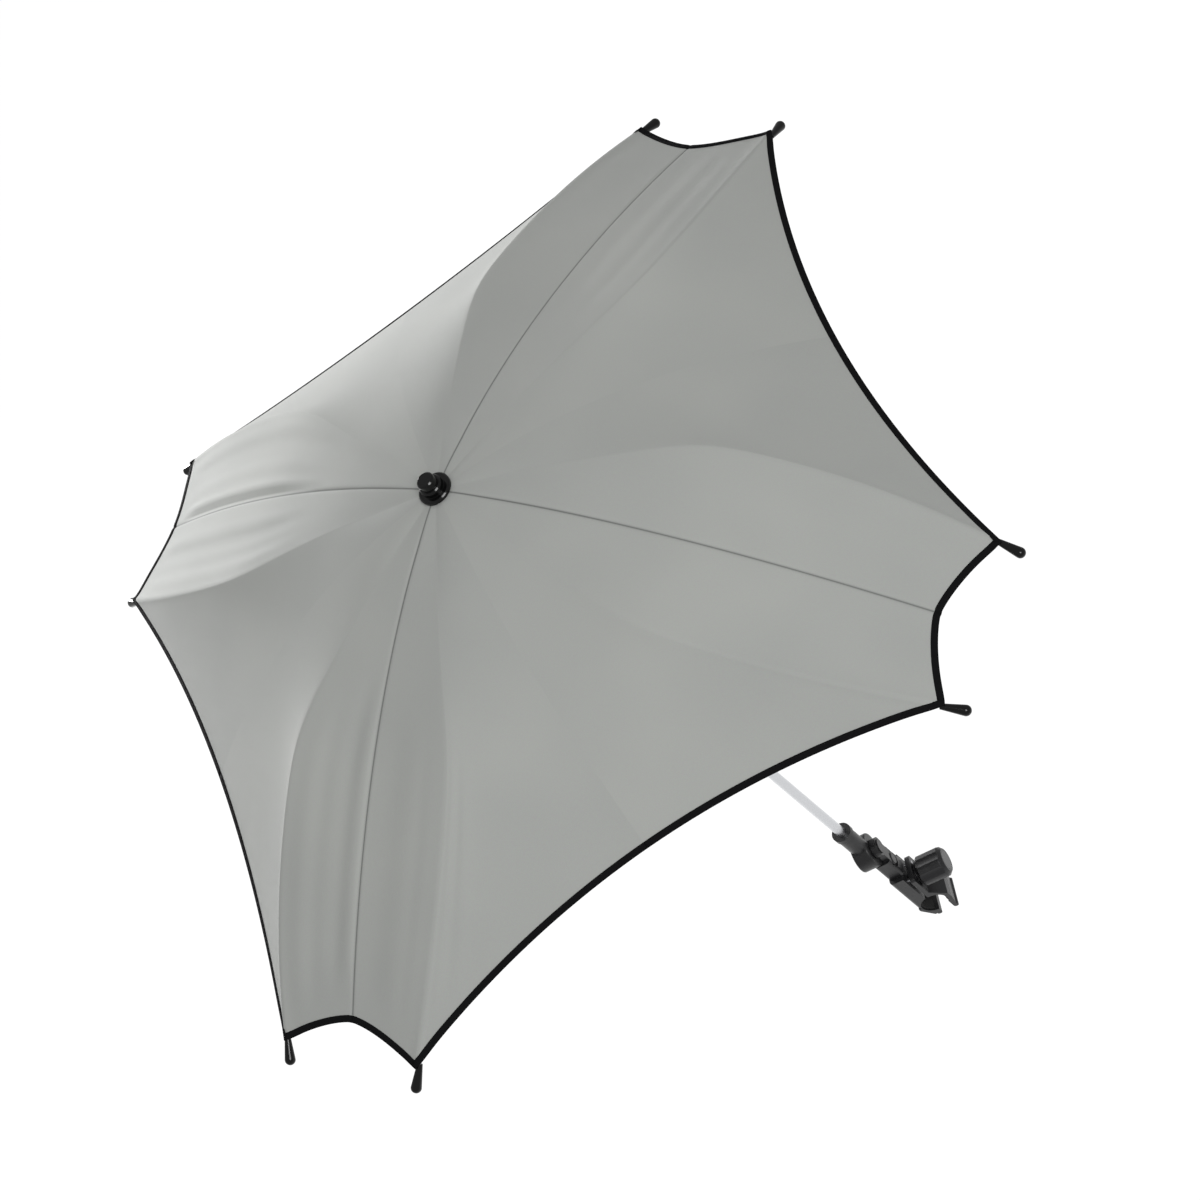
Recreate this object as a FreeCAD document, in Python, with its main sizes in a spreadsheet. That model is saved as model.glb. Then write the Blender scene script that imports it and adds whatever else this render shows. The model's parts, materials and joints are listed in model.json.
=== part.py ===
import FreeCAD, Part
import math
import os
import re
import Sketcher
from FreeCAD import Placement, Rotation, Vector

# Pram parasol: a folding cloth canopy on a pole, with a tilt socket, a swivel link and a screw clamp.
# Millimetres. The origin is on the axis of the pram tube in the jaws, which runs along Y.
# +Z runs up the pole, and +X points along the clamp screw to the knob.

SIZES = {
    # the pram tube and the two jaws round it
    "tube_diameter": 20,
    "pad_thickness": 1.5,
    "pad_width": 22,
    "pad_opening": 3,
    "jaw_wall": 3.2,
    "jaw_width": 25,
    "mouth_fixed": 1.5,
    "mouth_moving": 9.5,
    "claw_corner": 3,
    "claw_thickness": 3,
    "bead_diameter": 4.4,
    "bead_drop": 1.5,
    # the clamp body above the fixed jaw, and the arm of the moving jaw
    "seam_height": 50,
    "body_face": 3,
    "arm_gap": 2.5,
    "arm_thickness": 4,
    "arm_height": 43,
    "arm_corner": 5,
    "arm_shoulder": 17.5,
    # screw, nut, guide pins and knob
    "screw_height": 31,
    "screw_diameter": 6,
    "screw_tip": 14.3,
    "screw_grip": 10,
    "nut_across_flats": 10,
    "nut_thickness": 5,
    "nut_seat": 6,
    "guide_pin_diameter": 3,
    "guide_pin_height": 38,
    "guide_pin_spread": 15,
    "guide_pin_reach": 11.5,
    "knob_diameter": 26,
    "knob_length": 26.5,
    "knob_collar_diameter": 17,
    "knob_collar_length": 1.5,
    "knob_rounding": 3,
    "knob_flute_radius": 11,
    "knob_flute_depth": 1.1,
    "knob_cap_diameter": 16,
    "knob_cap_thickness": 2,
    # the swivel link and its button
    "link_face": 0.5,
    "link_thickness": 14.3,
    "link_width": 16.5,
    "link_length": 25,
    "shoulder_clearance": 0.5,
    "lug_thickness": 5.5,
    "lug_diameter": 16,
    "neck_width": 11,
    "stud_diameter": 6,
    "stud_depth": 6,
    "stud_wall": 1,
    "button_below": 9,
    "button_diameter": 11,
    "button_length": 6,
    "button_proud": 0.4,
    "button_travel": 2,
    "button_rounding": 1,
    "recess_diameter": 15,
    "recess_depth": 1.5,
    "bush_diameter": 8,
    "bush_wall": 1.5,
    "bush_pressed": 2.5,
    # the tilt joint and the pole socket
    "barrel_diameter": 29,
    "barrel_length": 14.3,
    "barrel_rounding": 1.5,
    "barrel_gap": 0.35,
    "bolt_diameter": 5,
    "bolt_head_diameter": 12,
    "bolt_head_height": 1,
    "tilt_nut_flats": 8,
    "tilt_nut_thickness": 3.6,
    "nut_pocket_diameter": 10.4,
    "nut_pocket_depth": 4.2,
    "socket_diameter": 15,
    "socket_length": 41,
    "socket_collar": 16.6,
    "socket_collar_length": 5,
    "socket_depth": 19,
    # the pole and what sits on it
    "pole_diameter": 8,
    "pole_wall": 1,
    "pole_rise": 14,
    "hub_diameter": 27,
    "hub_bore_wall": 2.8,
    "hinge_radius": 10,
    "notch_height": 708,
    "notch_rise": 3,
    "notch_drop": 5,
    "runner_rise": 5,
    "runner_drop": 6,
    "runner_sleeve_diameter": 16,
    "runner_sleeve_length": 30,
    "runner_grip_diameter": 19,
    "runner_grip_length": 4,
    "slot_width": 2.6,
    "pin_diameter": 1.6,
    "pin_length": 5.4,
    # the ferrule cap
    "cap_seat_rise": 6.6,
    "cap_flange_diameter": 25,
    "cap_flange_height": 3,
    "cap_tier_diameter": 17,
    "cap_tier_height": 5,
    "cap_top_diameter": 13,
    "cap_top_height": 6.5,
    "cap_bevel": 1,
    # the fold: ribs, stretchers, rods and tips
    "rib_diameter": 3,
    "rib_bow": 6.25,
    "rib_end_radius": 190,
    "rib_end_fall": 32.9,
    "joint_inset": 10,
    "eye_diameter": 4.4,
    "eye_thickness": 2,
    "cheek_thickness": 1.2,
    "cheek_length": 5,
    "cheek_drop": 5.1,
    "stretcher_diameter": 2.6,
    "rod_diameter": 2.4,
    "rod_bow_along": 2.8,
    "rod_bow_aside": 6.5,
    "rod_bow_up": 4,
    "corner_along": 365,
    "corner_aside": 59,
    "corner_fall": 120,
    "knuckle_width": 4.8,
    "knuckle_plate": 0.8,
    "knuckle_length": 6,
    "tongue_thickness": 1.6,
    "neck_diameter": 1.4,
    "tip_neck_diameter": 4,
    "tip_ball_diameter": 7.6,
    "tip_neck_start": 5,
    "tip_ball_reach": 12,
    # the cloth
    "cover_thickness": 0.5,
    "cover_lift": 4.2,
    "cover_hole_radius": 5.5,
    "cover_apex_rise": 5.4,
    "seam_inset": 20,
    "seam_hem_fall": 116.1,
    "side_scallop": 27.8,
    "side_hem_fall": 107.4,
    "binding_width": 5.5,
    "binding_thickness": 1.2,
    # clearances
    "running_clearance": 0.05,
    "seat_clearance": 0.02,
    "face_clearance": 0.3,
    "swivel_clearance": 0.1,
}

# How fast the seam line and the middle of a long side fall towards the hem, as powers of the distance
SEAM_POWER = 1.7
SIDE_POWER = 2.1
CORNERS = 4
CANOPY_TURN = 55.75
RIB_SPREAD = 21
KNOB_FLUTES = 6

doc = FreeCAD.newDocument("PramParasol")
sheet = doc.addObject("Spreadsheet::Sheet", "Sizes")
for row, (alias, value) in enumerate(SIZES.items(), start=1):
    sheet.set("A%d" % row, alias)
    sheet.set("B%d" % row, str(value))
    sheet.setAlias("B%d" % row, alias)
SCRATCH_CELL = "D1"
PREFIX = "Sizes."
doc.recompute()

finished = []


def size(alias):
    return float(sheet.get(alias))


def formula(text):
    """The text with each size in it named as a cell of the sheet."""
    return re.sub(r"[a-z][a-z_]+", lambda word: PREFIX * (word.group(0) in SIZES) + word.group(0), text)


def number(text):
    """What the formula comes to with the sizes as they are."""
    sheet.set(SCRATCH_CELL, "=" + text)
    sheet.recompute()
    result = float(sheet.get(SCRATCH_CELL))
    sheet.clear(SCRATCH_CELL)
    return result


def keep(piece, label):
    """Marks an object of the document as one finished piece."""
    piece.Label = label
    finished.append(piece)
    return piece


ALONG = {"x": Rotation(Vector(0, 1, 0), 90), "y": Rotation(Vector(1, 0, 0), -90), "z": Rotation()}


def place(piece, x, y, z, turn=Rotation()):
    piece.Placement = Placement(Vector(), turn)
    for axis, text in zip("xyz", (x, y, z)):
        piece.setExpression("Placement.Base." + axis, formula(text))
    return piece


def cylinder(name, diameter, length, along, x="0", y="0", z="0"):
    piece = doc.addObject("Part::Cylinder", name)
    piece.setExpression("Radius", formula("(%s)/2" % diameter))
    piece.setExpression("Height", formula(length))
    return place(piece, x, y, z, ALONG[along])


def box(name, x, y, z):
    """A block between the two ends given for each axis."""
    piece = doc.addObject("Part::Box", name)
    for side, (low, high) in zip(("Length", "Width", "Height"), (x, y, z)):
        piece.setExpression(side, formula("(%s)-(%s)" % (high, low)))
    return place(piece, x[0], y[0], z[0])


def hexagon(name, flats, length, x, y, z):
    """A six-sided prism along X."""
    piece = doc.addObject("Part::Prism", name)
    piece.Polygon = 6
    piece.setExpression("Circumradius", formula("(%s)/2/cos(30)" % flats))
    piece.setExpression("Height", formula(length))
    return place(piece, x, y, z, ALONG["x"])


def cut(name, base, *tools):
    piece = doc.addObject("Part::Cut", name)
    piece.Base = base
    piece.Tool = tools[0] if len(tools) == 1 else fuse(name + "_tools", *tools)
    return piece


def fuse(name, *pieces):
    piece = doc.addObject("Part::MultiFuse", name)
    piece.Shapes = list(pieces)
    return piece


def common(name, *pieces):
    piece = doc.addObject("Part::MultiCommon", name)
    piece.Shapes = list(pieces)
    return piece


def outline(body, name, corners):
    """A closed outline of straight lines in the body's XZ plane, each corner bound to two formulas."""
    sketch = body.newObject("Sketcher::SketchObject", name + "_outline")
    plane = [feature for feature in body.Origin.OriginFeatures if feature.Role == "XZ_Plane"][0]
    sketch.AttachmentSupport = [(plane, "")]
    sketch.MapMode = "FlatFace"
    points = [Vector(number(across), number(up), 0) for across, up in corners]
    count = len(points)
    for index, point in enumerate(points):
        sketch.addGeometry(Part.LineSegment(point, points[(index + 1) % count]), False)
    for index in range(count):
        sketch.addConstraint(Sketcher.Constraint("Coincident", index, 2, (index + 1) % count, 1))
    for index, texts in enumerate(corners):
        for kind, text, other_axis in zip(("DistanceX", "DistanceY"), texts, (-2, -1)):
            if text == "0":
                sketch.addConstraint(Sketcher.Constraint("PointOnObject", index, 1, other_axis))
                continue
            where = points[index].x if kind == "DistanceX" else points[index].y
            rule = sketch.addConstraint(Sketcher.Constraint(kind, -1, 1, index, 1, where))
            sketch.setExpression("Constraints[%d]" % rule, formula(text))
    return sketch


def padded(name, corners, width):
    """An outline in XZ, given its width in equal parts to both sides along Y."""
    body = doc.addObject("PartDesign::Body", name)
    pad = body.newObject("PartDesign::Pad", name + "_pad")
    pad.Profile = outline(body, name, corners)
    pad.Midplane = True
    pad.setExpression("Length", formula(width))
    body.Tip = pad
    return body


def revolved(name, corners):
    """An outline of radius and height, turned round the body's own Z axis."""
    body = doc.addObject("PartDesign::Body", name)
    profile = outline(body, name, corners)
    turn = body.newObject("PartDesign::Revolution", name + "_turn")
    turn.Profile = profile
    turn.ReferenceAxis = (profile, ["V_Axis"])
    turn.Angle = 360
    body.Tip = turn
    return body


def rounded(name, base, radius, wanted):
    """The base with its edges that pass the test rounded off."""
    doc.recompute()
    piece = doc.addObject("Part::Fillet", name)
    piece.Base = base
    edges = []
    for index, edge in enumerate(base.Shape.Edges, start=1):
        if wanted(edge):
            edges.append((index, radius, radius))
    piece.Edges = edges
    return piece


def runs_along(edge, axis):
    """True for a straight edge along X, Y or Z."""
    if edge.Curve.TypeId != "Part::GeomLine":
        return False
    return abs(getattr(edge.tangentAt(edge.FirstParameter), axis)) > 0.999


# Shorthand formulas that several pieces share
SEAT_DIAMETER = "tube_diameter + 2*pad_thickness"
JAW_DIAMETER = "tube_diameter + 2*pad_thickness + 2*jaw_wall"
JAW_RADIUS = "tube_diameter/2 + pad_thickness + jaw_wall"
ARM_INNER = "arm_gap - body_face"
ARM_OUTER = "arm_gap - body_face + arm_thickness"
KNOB_START = "arm_gap - body_face + arm_thickness + face_clearance"
LINK_BACK = "-link_face - link_thickness"
SWIVEL_X = "-link_face - link_thickness/2"
LUG_BACK = "-link_face - lug_thickness"
POLE_X = "-link_face - lug_thickness - barrel_gap - barrel_length/2"
BARREL_BACK = "-link_face - lug_thickness - barrel_gap - barrel_length"
LINK_BOTTOM = "seam_height + swivel_clearance"
LINK_SHOULDER = "seam_height + link_length"
BUTTON_HEIGHT = "seam_height + link_length - button_below"
STUD_RISE = "link_length - button_below - button_diameter/2 - stud_wall"
TILT_HEIGHT = "seam_height + link_length + shoulder_clearance + barrel_diameter/2"
SOCKET_MOUTH = "%s + socket_length" % TILT_HEIGHT
BUSH_LENGTH = "button_travel + bush_pressed"
BUSH_START = "-link_face + button_proud - button_length - (%s)" % BUSH_LENGTH
CLAW_BOTTOM = "-(%s) - bead_drop" % JAW_RADIUS
JOINT_RADIUS = "rib_end_radius - joint_inset"
JOINT_HEIGHT = "notch_height - rib_end_fall - cheek_drop"
RUNNER_HEIGHT = "notch_height - 2*(rib_end_fall + cheek_drop)"
APEX_HEIGHT = "notch_height + cover_apex_rise"
SEAM_REACH = "corner_along - seam_inset"
SIDE_REACH = "(corner_along + corner_aside)/sqrt(2) - side_scallop"


def guide_rods(name, diameter, length, start):
    """A pair of round rods along X where the jaw's guide pins run."""
    rods = []
    for side in (-1, 1):
        rods.append(cylinder("%s_%d" % (name, side), diameter, length, "x",
                             start, "%d*guide_pin_spread/2" % side, "guide_pin_height"))
    return rods


def make_clamp_body():
    """The fixed jaw and the block above it, with the nut pocket, the guide bores and the swivel bore."""
    block = padded("clamp_block", [
        ("-(%s)" % JAW_RADIUS, "0"),
        ("-body_face", "0"),
        ("-body_face", "seam_height"),
        ("-(%s)" % JAW_RADIUS, "seam_height"),
    ], "jaw_width")
    block = rounded("clamp_block_round", block, size("jaw_wall"),
                    lambda edge: runs_along(edge, "z") and edge.CenterOfMass.x < -size("tube_diameter") / 2)
    claw = padded("fixed_claw", [
        ("-(%s)" % JAW_RADIUS, "0"),
        ("-(%s)" % JAW_RADIUS, "-claw_corner"),
        ("-mouth_fixed - 2*claw_thickness", CLAW_BOTTOM),
        ("-mouth_fixed", CLAW_BOTTOM),
        ("-mouth_fixed", "0"),
    ], "jaw_width")
    bead = cylinder("fixed_bead", "bead_diameter", "jaw_width", "y",
                    "-mouth_fixed - bead_diameter/2", "-jaw_width/2", CLAW_BOTTOM)
    bore = cylinder("fixed_bore", SEAT_DIAMETER, "2*jaw_width", "y", "0", "-jaw_width", "0")
    pocket = hexagon("nut_pocket", "nut_across_flats + 2*seat_clearance", "jaw_width",
                     "-nut_seat - jaw_width", "0", "screw_height")
    screw_hole = cylinder("screw_hole", "screw_diameter + 2*face_clearance", "2*jaw_width", "x",
                          "-jaw_width", "0", "screw_height")
    swivel = cylinder("swivel_bore", "stud_diameter + 2*running_clearance", "2*stud_depth", "z",
                      SWIVEL_X, "0", "seam_height - stud_depth - face_clearance")
    guides = guide_rods("guide_bore", "guide_pin_diameter + 2*running_clearance",
                        "2*jaw_width", "-jaw_width")
    body = fuse("clamp_solid", block, claw, bead)
    keep(cut("clamp_body", body, bore, pocket, screw_hole, swivel, *guides), "clamp_body")


def make_pads():
    """The two rubber pads, arcs of one ring round the tube."""
    sides = {
        "jaw_pad_fixed": ("-tube_diameter", "-pad_opening - mouth_fixed"),
        "jaw_pad_moving": ("pad_opening + mouth_fixed", "tube_diameter"),
    }
    for name, span in sides.items():
        outer = cylinder(name + "_outer", "%s - 2*running_clearance" % SEAT_DIAMETER, "pad_width", "y",
                         "0", "-pad_width/2", "0")
        inner = cylinder(name + "_inner", "tube_diameter", "2*pad_width", "y", "0", "-pad_width", "0")
        ring = cut(name + "_ring", outer, inner)
        window = box(name + "_window", span, ("-pad_width", "pad_width"),
                     ("-tube_diameter", "tube_diameter"))
        arc = common(name + "_arc", ring, window)
        mouth = box(name + "_mouth", ("-mouth_fixed", "mouth_moving"), ("-pad_width", "pad_width"),
                    ("-tube_diameter", "0"))
        keep(cut(name, arc, mouth), name)


def make_moving_jaw():
    """The outer jaw: an arm on the screw, and a claw that ends in a bead."""
    arm = padded("jaw_arm", [
        (ARM_INNER, "0"),
        (JAW_RADIUS, "0"),
        (JAW_RADIUS, "arm_corner"),
        (ARM_OUTER, "arm_shoulder"),
        (ARM_OUTER, "arm_height"),
        (ARM_INNER, "arm_height"),
    ], "jaw_width")
    arm = rounded("jaw_arm_round", arm, size("jaw_wall"),
                  lambda edge: runs_along(edge, "x") and edge.CenterOfMass.z > size("screw_height"))
    claw = padded("moving_claw", [
        (JAW_RADIUS, "0"),
        (JAW_RADIUS, "-claw_corner"),
        ("mouth_moving + claw_thickness", CLAW_BOTTOM),
        ("mouth_moving", CLAW_BOTTOM),
        ("mouth_moving", "0"),
    ], "jaw_width")
    bead = cylinder("moving_bead", "bead_diameter", "jaw_width", "y",
                    "mouth_moving + bead_diameter/2", "-jaw_width/2", CLAW_BOTTOM)
    bore = cylinder("moving_bore", SEAT_DIAMETER, "2*jaw_width", "y", "0", "-jaw_width", "0")
    screw_hole = cylinder("jaw_screw_hole", "screw_diameter + 2*running_clearance", "2*jaw_width", "x",
                          "-jaw_width", "0", "screw_height")
    guides = guide_rods("guide_seat", "guide_pin_diameter + 2*seat_clearance",
                        "2*jaw_width", "-jaw_width")
    keep(cut("moving_jaw", fuse("jaw_solid", arm, claw, bead), bore, screw_hole, *guides), "moving_jaw")
    pins = guide_rods("guide_pin", "guide_pin_diameter",
                      "guide_pin_reach + %s" % ARM_OUTER, "-guide_pin_reach")
    keep(fuse("guide_pins", *pins), "guide_pins")


def make_screw():
    """The clamp screw, held in the knob, and the nut in the clamp body."""
    shank = cylinder("clamp_screw", "screw_diameter", "screw_tip + %s + screw_grip" % KNOB_START, "x",
                     "-screw_tip", "0", "screw_height")
    keep(shank, "clamp_screw")
    blank = hexagon("screw_nut_blank", "nut_across_flats", "nut_thickness",
                    "-nut_seat - nut_thickness", "0", "screw_height")
    thread = cylinder("screw_nut_hole", "screw_diameter + 2*running_clearance", "2*jaw_width", "x",
                      "-jaw_width", "0", "screw_height")
    keep(cut("screw_nut", blank, thread), "screw_nut")


def make_knob():
    """The fluted knob: a collar, a drum with rounded rims, and a round cap let into its end."""
    body = revolved("knob_drum", [
        ("0", "0"),
        ("knob_collar_diameter/2", "0"),
        ("knob_collar_diameter/2", "knob_collar_length"),
        ("knob_diameter/2 - knob_rounding", "knob_collar_length"),
        ("knob_diameter/2", "knob_collar_length + knob_rounding"),
        ("knob_diameter/2", "knob_length - knob_rounding"),
        ("knob_diameter/2 - knob_rounding", "knob_length"),
        ("knob_cap_diameter/2 + seat_clearance", "knob_length"),
        ("knob_cap_diameter/2 + seat_clearance", "knob_length - knob_cap_thickness"),
        ("0", "knob_length - knob_cap_thickness"),
    ])
    place(body, KNOB_START, "0", "screw_height", ALONG["x"])
    grip = cylinder("knob_screw_hole", "screw_diameter + 2*seat_clearance", "screw_grip + seat_clearance",
                    "x", KNOB_START, "0", "screw_height")
    flutes = []
    for index in range(KNOB_FLUTES):
        turn = "%g" % (index * 360 / KNOB_FLUTES)
        reach = "(knob_diameter/2 + knob_flute_radius - knob_flute_depth)"
        flutes.append(cylinder("knob_flute_%d" % index, "2*knob_flute_radius", "knob_length", "x",
                               "%s + knob_collar_length/2" % KNOB_START, "%s*sin(%s)" % (reach, turn),
                               "screw_height + %s*cos(%s)" % (reach, turn)))
    keep(cut("clamp_knob", body, grip, *flutes), "clamp_knob")
    cap = revolved("knob_cap", [
        ("0", "0"),
        ("knob_cap_diameter/2", "0"),
        ("knob_cap_diameter/2", "knob_cap_thickness"),
        ("0", "knob_cap_thickness"),
    ])
    place(cap, "%s + knob_length - knob_cap_thickness" % KNOB_START, "0", "screw_height", ALONG["x"])
    keep(cap, "knob_cap")


def make_link():
    """The block that swivels on the clamp, with the lug of the tilt joint and the button's bore."""
    block = padded("link_base", [
        (LINK_BACK, LINK_BOTTOM),
        ("-link_face", LINK_BOTTOM),
        ("-link_face", LINK_SHOULDER),
        (LINK_BACK, LINK_SHOULDER),
    ], "link_width")
    block = rounded("link_base_round", block, size("jaw_wall"), lambda edge: runs_along(edge, "z"))
    neck = box("link_neck", (LUG_BACK, "-link_face"), ("-neck_width/2", "neck_width/2"),
               ("%s - lug_diameter/4" % LINK_SHOULDER, TILT_HEIGHT))
    lug = cylinder("link_lug", "lug_diameter", "lug_thickness", "x", LUG_BACK, "0", TILT_HEIGHT)
    bolt_hole = cylinder("link_bolt_hole", "bolt_diameter + 2*seat_clearance", "2*lug_thickness", "x",
                         "%s - lug_thickness" % LUG_BACK, "0", TILT_HEIGHT)
    stud_hole = cylinder("link_stud_hole", "stud_diameter + 2*seat_clearance",
                         "%s + swivel_clearance" % STUD_RISE, "z", SWIVEL_X, "0", "seam_height")
    button_bore = cylinder("button_bore", "button_diameter + 2*running_clearance",
                           "button_length - button_proud + %s" % BUSH_LENGTH, "x",
                           BUSH_START, "0", BUTTON_HEIGHT)
    recess = cylinder("button_recess", "recess_diameter", "2*recess_depth", "x",
                      "-link_face - recess_depth", "0", BUTTON_HEIGHT)
    keep(cut("link_block", fuse("link_solid", block, neck, lug), bolt_hole, stud_hole, button_bore, recess),
         "link_block")
    stud = cylinder("swivel_stud", "stud_diameter", "stud_depth + %s" % STUD_RISE, "z", SWIVEL_X, "0",
                    "seam_height - stud_depth")
    keep(stud, "swivel_stud")


def make_button():
    """The push-button, with a rounded rim, and the springy rubber bush behind it."""
    button = revolved("release_button", [
        ("0", "0"),
        ("button_diameter/2", "0"),
        ("button_diameter/2", "button_length - button_rounding"),
        ("button_diameter/2 - button_rounding", "button_length"),
        ("0", "button_length"),
    ])
    place(button, "-link_face + button_proud - button_length", "0", BUTTON_HEIGHT, ALONG["x"])
    keep(button, "release_button")
    outer = cylinder("bush_outer", "bush_diameter", BUSH_LENGTH, "x", BUSH_START, "0", BUTTON_HEIGHT)
    inner = cylinder("bush_inner", "bush_diameter - 2*bush_wall", BUSH_LENGTH, "x",
                     BUSH_START, "0", BUTTON_HEIGHT)
    keep(cut("return_bush", outer, inner), "return_bush")


def make_tilt_bolt():
    """The bolt with a low, wide head that the pole tilts about, and its nut."""
    shank = cylinder("tilt_shank", "bolt_diameter",
                     "lug_thickness + barrel_gap + barrel_length - face_clearance", "x",
                     "%s + face_clearance" % BARREL_BACK, "0", TILT_HEIGHT)
    head = cylinder("tilt_head", "bolt_head_diameter", "bolt_head_height", "x",
                    "-link_face", "0", TILT_HEIGHT)
    keep(fuse("tilt_bolt", shank, head), "tilt_bolt")
    start = "%s + nut_pocket_depth - face_clearance - tilt_nut_thickness" % BARREL_BACK
    blank = hexagon("tilt_nut_blank", "tilt_nut_flats", "tilt_nut_thickness", start, "0", TILT_HEIGHT)
    thread = cylinder("tilt_nut_hole", "bolt_diameter + 2*seat_clearance", "2*barrel_length", "x",
                      "%s - barrel_length/2" % BARREL_BACK, "0", TILT_HEIGHT)
    keep(cut("tilt_nut", blank, thread), "tilt_nut")


def make_socket():
    """The tilt barrel with the tube that the pole stands in."""
    barrel = cylinder("tilt_barrel", "barrel_diameter", "barrel_length", "x", BARREL_BACK, "0", TILT_HEIGHT)
    barrel = rounded("tilt_barrel_round", barrel, size("barrel_rounding"),
                     lambda edge: edge.Curve.TypeId == "Part::GeomCircle")
    tube = cylinder("socket_tube", "socket_diameter", "socket_length", "z", POLE_X, "0", TILT_HEIGHT)
    collar = cylinder("socket_collar", "socket_collar", "socket_collar_length", "z", POLE_X, "0",
                      "%s - socket_collar_length" % SOCKET_MOUTH)
    pole_hole = cylinder("socket_hole", "pole_diameter + 2*seat_clearance", "2*socket_depth", "z",
                         POLE_X, "0", "%s - socket_depth" % SOCKET_MOUTH)
    bolt_hole = cylinder("barrel_bolt_hole", "bolt_diameter + 2*running_clearance", "2*barrel_length", "x",
                         "%s - barrel_length/2" % BARREL_BACK, "0", TILT_HEIGHT)
    nut_pocket = cylinder("barrel_nut_pocket", "nut_pocket_diameter", "2*nut_pocket_depth", "x",
                          "%s - nut_pocket_depth" % BARREL_BACK, "0", TILT_HEIGHT)
    keep(cut("pole_socket", fuse("socket_solid", barrel, tube, collar), pole_hole, bolt_hole, nut_pocket),
         "pole_socket")


def make_pole():
    length = "notch_height + pole_rise - (%s) + socket_depth" % SOCKET_MOUTH
    foot = "%s - socket_depth" % SOCKET_MOUTH
    outer = cylinder("pole_outer", "pole_diameter", length, "z", POLE_X, "0", foot)
    inner = cylinder("pole_inner", "pole_diameter - 2*pole_wall", length, "z", POLE_X, "0", foot)
    keep(cut("pole", outer, inner), "pole")


def rib_angles():
    """The direction of each rib's hinge plane, corner by corner, with the side of its corner it is on."""
    found = []
    for corner in range(CORNERS):
        middle = CANOPY_TURN - 360 / CORNERS * corner
        found.append((middle, 1, middle + RIB_SPREAD))
        found.append((middle, -1, middle - RIB_SPREAD))
    return found


def on_pole(angle):
    """The frame whose Z axis is the pole and whose X axis points out at the angle."""
    return Placement(Vector(number(POLE_X), 0, 0), Rotation(Vector(0, 0, 1), angle))


def make_hub(name, pins_name, height, low, profile):
    """A hub on the pole with a slot and a cross pin for each rib or stretcher."""
    hub = revolved(name + "_blank", profile)
    place(hub, POLE_X, "0", low)
    slots = []
    holes = []
    pins = []
    for index, (_, _, angle) in enumerate(rib_angles()):
        turn = Rotation(Vector(0, 0, 1), angle)
        slot = doc.addObject("Part::Box", "%s_slot_%d" % (name, index))
        slot.setExpression("Length", formula("hub_diameter"))
        slot.setExpression("Width", formula("slot_width"))
        slot.setExpression("Height", formula("hub_diameter"))
        corner = turn.multVec(Vector(number("pole_diameter/2 + hub_bore_wall"), -size("slot_width") / 2, 0))
        middle = Vector(number(POLE_X), 0, number(height))
        slot.Placement = Placement(corner + middle - Vector(0, 0, size("hub_diameter") / 2), turn)
        slots.append(slot)
        for group, gap in ((holes, "seat_clearance"), (pins, "0*seat_clearance")):
            pin = doc.addObject("Part::Cylinder", "%s_pin_%d" % (name, len(holes) + len(pins)))
            pin.setExpression("Radius", formula("pin_diameter/2 + %s" % gap))
            pin.setExpression("Height", formula("pin_length + 2*(%s)" % gap))
            start = turn.multVec(Vector(size("hinge_radius"), number("-pin_length/2 - (%s)" % gap), 0))
            pin.Placement = Placement(start + middle, turn.multiply(ALONG["y"]))
            group.append(pin)
    keep(cut(name, hub, *(slots + holes)), name)
    keep(fuse(pins_name, *pins), pins_name)


def make_hubs():
    bore = "pole_diameter/2 + seat_clearance"
    make_hub("top_notch", "notch_pins", "notch_height", "notch_height - notch_drop", [
        (bore, "0"),
        ("hub_diameter/2", "0"),
        ("hub_diameter/2", "notch_drop + notch_rise"),
        (bore, "notch_drop + notch_rise"),
    ])
    bore = "pole_diameter/2 + running_clearance"
    sleeve = "runner_sleeve_length"
    low = "%s - runner_drop - runner_sleeve_length" % RUNNER_HEIGHT
    make_hub("runner", "runner_pins", RUNNER_HEIGHT, low, [
        (bore, "0"),
        ("runner_grip_diameter/2", "0"),
        ("runner_grip_diameter/2", "runner_grip_length"),
        ("runner_sleeve_diameter/2", "2*runner_grip_length"),
        ("runner_sleeve_diameter/2", sleeve),
        ("hub_diameter/2", sleeve),
        ("hub_diameter/2", "%s + runner_drop + runner_rise" % sleeve),
        (bore, "%s + runner_drop + runner_rise" % sleeve),
    ])


def make_cap():
    """The stepped ferrule cap that holds the cloth down on the top of the pole."""
    tier = "cap_flange_height + cap_tier_height"
    top = "cap_flange_height + cap_tier_height + cap_top_height"
    bore_depth = "pole_rise - cap_seat_rise + face_clearance"
    bore = "pole_diameter/2 + seat_clearance"
    cap = revolved("ferrule_cap", [
        (bore, "0"),
        ("cap_flange_diameter/2", "0"),
        ("cap_flange_diameter/2", "cap_flange_height - cap_bevel"),
        ("cap_flange_diameter/2 - cap_bevel", "cap_flange_height"),
        ("cap_tier_diameter/2", "cap_flange_height"),
        ("cap_tier_diameter/2", "%s - cap_bevel" % tier),
        ("cap_tier_diameter/2 - cap_bevel", tier),
        ("cap_top_diameter/2", tier),
        ("cap_top_diameter/2", "%s - cap_bevel" % top),
        ("cap_top_diameter/2 - cap_bevel", top),
        ("0", top),
        ("0", bore_depth),
        (bore, bore_depth),
    ])
    place(cap, POLE_X, "0", "notch_height + cap_seat_rise")
    keep(cap, "ferrule_cap")


def rod_along(curve, diameter):
    """A round rod with its middle line on the curve."""
    start = curve.valueAt(curve.FirstParameter)
    section = Part.Wire(Part.makeCircle(diameter / 2, start, curve.tangentAt(curve.FirstParameter)))
    return Part.Wire(curve).makePipeShell([section], True, True)


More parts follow.
